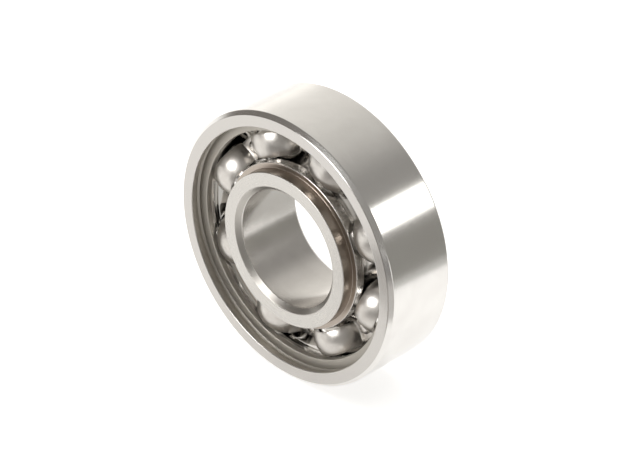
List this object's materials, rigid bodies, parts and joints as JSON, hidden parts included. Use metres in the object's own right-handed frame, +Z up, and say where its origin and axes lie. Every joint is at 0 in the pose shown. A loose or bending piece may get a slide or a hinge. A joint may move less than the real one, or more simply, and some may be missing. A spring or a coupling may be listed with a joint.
{
  "type": "deep groove ball bearing",
  "caption": "Open deep groove ball bearing: two grooved steel rings with balls held apart by a riveted pressed-steel ribbon cage.",
  "frame": {"origin": "centre of the bearing, on its axis and halfway across its width", "axes": "+Y along the bearing's axis, from the front face at -4 mm to the rear face at +4 mm; +Z up, with the bearing standing on its rim"},
  "size_m": [0.028, 0.008, 0.028],
  "materials": {
    "outer_ring_steel": "fine ground, satin",
    "inner_ring_steel": "fine ground, satin, bore honed",
    "cage_steel": "pressed sheet, tumbled satin",
    "ball_steel": "lapped mirror",
    "rivet_steel": "headed wire, satin"
  },
  "bodies": {
    "outer": {"outer_ring": "outer_ring_steel"},
    "inner": {"inner_ring": "inner_ring_steel"},
    "cage": {"cage_front_half": "cage_steel", "cage_rear_half": "cage_steel", "rivet_1": "rivet_steel", "rivet_2": "rivet_steel", "rivet_3": "rivet_steel", "rivet_4": "rivet_steel", "rivet_5": "rivet_steel", "rivet_6": "rivet_steel", "rivet_7": "rivet_steel", "rivet_8": "rivet_steel"},
    "ball_1": {"ball_1": "ball_steel"},
    "ball_2": {"ball_2": "ball_steel"},
    "ball_3": {"ball_3": "ball_steel"},
    "ball_4": {"ball_4": "ball_steel"},
    "ball_5": {"ball_5": "ball_steel"},
    "ball_6": {"ball_6": "ball_steel"},
    "ball_7": {"ball_7": "ball_steel"},
    "ball_8": {"ball_8": "ball_steel"}
  },
  "joints": [
    {"name": "inner_spin", "type": "hinge", "parent": "outer", "child": "inner", "pos_m": [0, 0, 0], "axis": [0, 1, 0], "continuous": true},
    {"name": "cage_orbit", "type": "hinge", "parent": "outer", "child": "cage", "pos_m": [0, 0, 0], "axis": [0, 1, 0], "continuous": true},
    {"name": "ball_1_spin", "type": "hinge", "parent": "cage", "child": "ball_1", "pos_m": [0.0091, 0, 0.00415], "axis": [0, 1, 0], "continuous": true},
    {"name": "ball_2_spin", "type": "hinge", "parent": "cage", "child": "ball_2", "pos_m": [0.0035, 0, 0.00937], "axis": [0, 1, 0], "continuous": true},
    {"name": "ball_3_spin", "type": "hinge", "parent": "cage", "child": "ball_3", "pos_m": [-0.00415, 0, 0.0091], "axis": [0, 1, 0], "continuous": true},
    {"name": "ball_4_spin", "type": "hinge", "parent": "cage", "child": "ball_4", "pos_m": [-0.00937, 0, 0.0035], "axis": [0, 1, 0], "continuous": true},
    {"name": "ball_5_spin", "type": "hinge", "parent": "cage", "child": "ball_5", "pos_m": [-0.0091, 0, -0.00415], "axis": [0, 1, 0], "continuous": true},
    {"name": "ball_6_spin", "type": "hinge", "parent": "cage", "child": "ball_6", "pos_m": [-0.0035, 0, -0.00937], "axis": [0, 1, 0], "continuous": true},
    {"name": "ball_7_spin", "type": "hinge", "parent": "cage", "child": "ball_7", "pos_m": [0.00415, 0, -0.0091], "axis": [0, 1, 0], "continuous": true},
    {"name": "ball_8_spin", "type": "hinge", "parent": "cage", "child": "ball_8", "pos_m": [0.00937, 0, -0.0035], "axis": [0, 1, 0], "continuous": true}
  ],
  "couplings": [
    {"joint": "cage_orbit", "follows": "inner_spin", "ratio": 0.38094},
    {"joint": "ball_1_spin", "follows": "inner_spin", "ratio": -1.9807},
    {"joint": "ball_2_spin", "follows": "inner_spin", "ratio": -1.9807},
    {"joint": "ball_3_spin", "follows": "inner_spin", "ratio": -1.9807},
    {"joint": "ball_4_spin", "follows": "inner_spin", "ratio": -1.9807},
    {"joint": "ball_5_spin", "follows": "inner_spin", "ratio": -1.9807},
    {"joint": "ball_6_spin", "follows": "inner_spin", "ratio": -1.9807},
    {"joint": "ball_7_spin", "follows": "inner_spin", "ratio": -1.9807},
    {"joint": "ball_8_spin", "follows": "inner_spin", "ratio": -1.9807}
  ]
}
